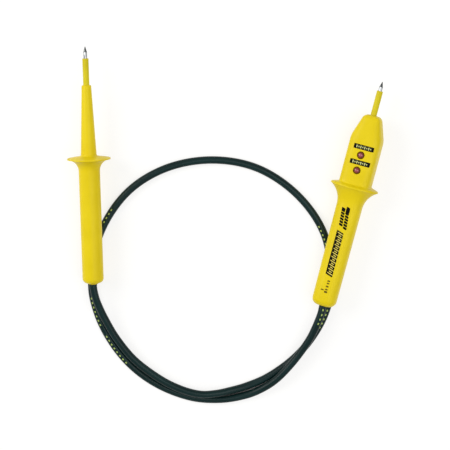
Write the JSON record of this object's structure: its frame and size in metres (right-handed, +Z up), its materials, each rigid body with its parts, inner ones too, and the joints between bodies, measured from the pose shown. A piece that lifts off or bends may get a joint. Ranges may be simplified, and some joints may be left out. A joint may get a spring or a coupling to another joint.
{
  "type": "voltage_tester",
  "caption": "Voltage tester: a round plain probe and a flat-faced indicator probe with red lamps, both with finger guards and metal tips, joined by a looped cord.",
  "frame": {"origin": "Middle of the base of the box round everything but the cord: halfway between the outermost points of the two probes across and along, at the level of the table that the tester lies on.", "axes": "+Z is up from the table. +X runs across the pair, from the plain probe to the indicator probe. +Y runs along the probes, from the handles' bases to the tips. The cord lies towards -Y."},
  "size_m": [0.2202, 0.2543, 0.0302],
  "materials": {
    "housing": "satin yellow moulding",
    "contact_metal": "bright plated metal",
    "cord_black": "soft black cord",
    "lamp_red": "clear red lens",
    "board": "green lacquer",
    "resistor_blue": "lacquer",
    "resistor_tan": "lacquer",
    "part_black": "moulded",
    "core_insulation": "insulation",
    "solder_copper": "bare copper"
  },
  "bodies": {
    "root": {"plain_barrel": "housing", "plain_sleeve": "housing", "plain_tip": "contact_metal", "plain_resistor": "resistor_tan", "plain_splice": "solder_copper", "plain_core": "core_insulation", "plain_cord_bush": "housing", "front_shell": "housing", "rear_shell": "housing", "indicator_sleeve": "housing", "indicator_tip": "contact_metal", "tip_clip": "solder_copper", "circuit_board": "board", "upper_led": "lamp_red", "lower_led": "lamp_red", "led_leads": "contact_metal", "resistor_1": "resistor_blue", "resistor_2": "resistor_blue", "diode_1": "part_black", "diode_2": "part_black", "indicator_core": "core_insulation", "indicator_cord_bush": "cord_black", "cord": "cord_black"}
  },
  "joints": []
}
